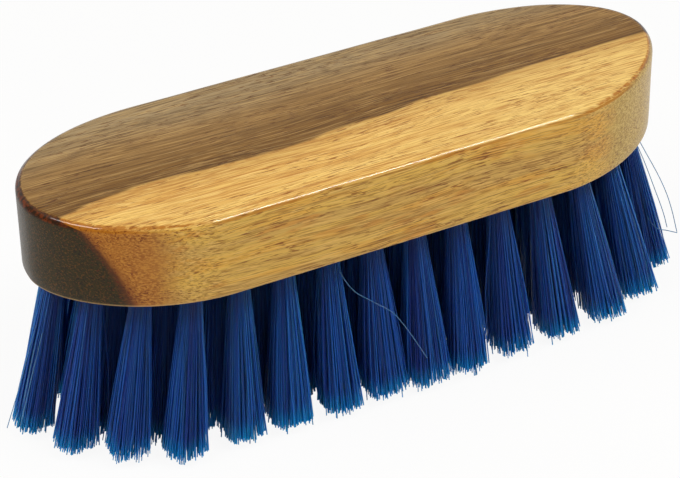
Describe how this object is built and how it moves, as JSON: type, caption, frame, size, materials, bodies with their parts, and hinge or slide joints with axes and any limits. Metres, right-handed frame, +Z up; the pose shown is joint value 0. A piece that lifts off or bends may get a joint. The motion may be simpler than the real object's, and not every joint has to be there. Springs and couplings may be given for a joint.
{
  "type": "mane brush",
  "caption": "Hand-sized mane brush: a flat-backed hardwood block with round ends and splayed tufts of stiff blue filament on its underside.",
  "frame": {"origin": "on the floor under the middle of the brush, which stands on its bristle tips", "axes": "+X along the block, -Y towards the front side with the pale sapwood, +Z up through the back of the block"},
  "size_m": [0.1895, 0.0638, 0.07],
  "materials": {
    "hardwood": "clear lacquer over two-tone heartwood and sapwood",
    "filament": "extruded blue filament, slightly translucent at the tips"
  },
  "bodies": {
    "root": {"brush_block": "hardwood", "outer_tuft_01": "filament", "outer_tuft_02": "filament", "outer_tuft_03": "filament", "outer_tuft_04": "filament", "outer_tuft_05": "filament", "outer_tuft_06": "filament", "outer_tuft_07": "filament", "outer_tuft_08": "filament", "outer_tuft_09": "filament", "outer_tuft_10": "filament", "outer_tuft_11": "filament", "outer_tuft_12": "filament", "outer_tuft_13": "filament", "outer_tuft_14": "filament", "outer_tuft_15": "filament", "outer_tuft_16": "filament", "outer_tuft_17": "filament", "outer_tuft_18": "filament", "outer_tuft_19": "filament", "outer_tuft_20": "filament", "outer_tuft_21": "filament", "outer_tuft_22": "filament", "outer_tuft_23": "filament", "outer_tuft_24": "filament", "outer_tuft_25": "filament", "outer_tuft_26": "filament", "outer_tuft_27": "filament", "outer_tuft_28": "filament", "outer_tuft_29": "filament", "outer_tuft_30": "filament", "inner_tuft_01": "filament", "inner_tuft_02": "filament", "inner_tuft_03": "filament", "inner_tuft_04": "filament", "inner_tuft_05": "filament", "inner_tuft_06": "filament", "inner_tuft_07": "filament", "inner_tuft_08": "filament", "inner_tuft_09": "filament", "inner_tuft_10": "filament", "inner_tuft_11": "filament", "inner_tuft_12": "filament", "inner_tuft_13": "filament", "inner_tuft_14": "filament", "inner_tuft_15": "filament", "inner_tuft_16": "filament", "inner_tuft_17": "filament", "inner_tuft_18": "filament", "inner_tuft_19": "filament", "inner_tuft_20": "filament", "inner_tuft_21": "filament", "inner_tuft_22": "filament", "inner_tuft_23": "filament", "inner_tuft_24": "filament", "middle_tuft_01": "filament", "middle_tuft_02": "filament", "middle_tuft_03": "filament", "middle_tuft_04": "filament"}
  },
  "joints": []
}
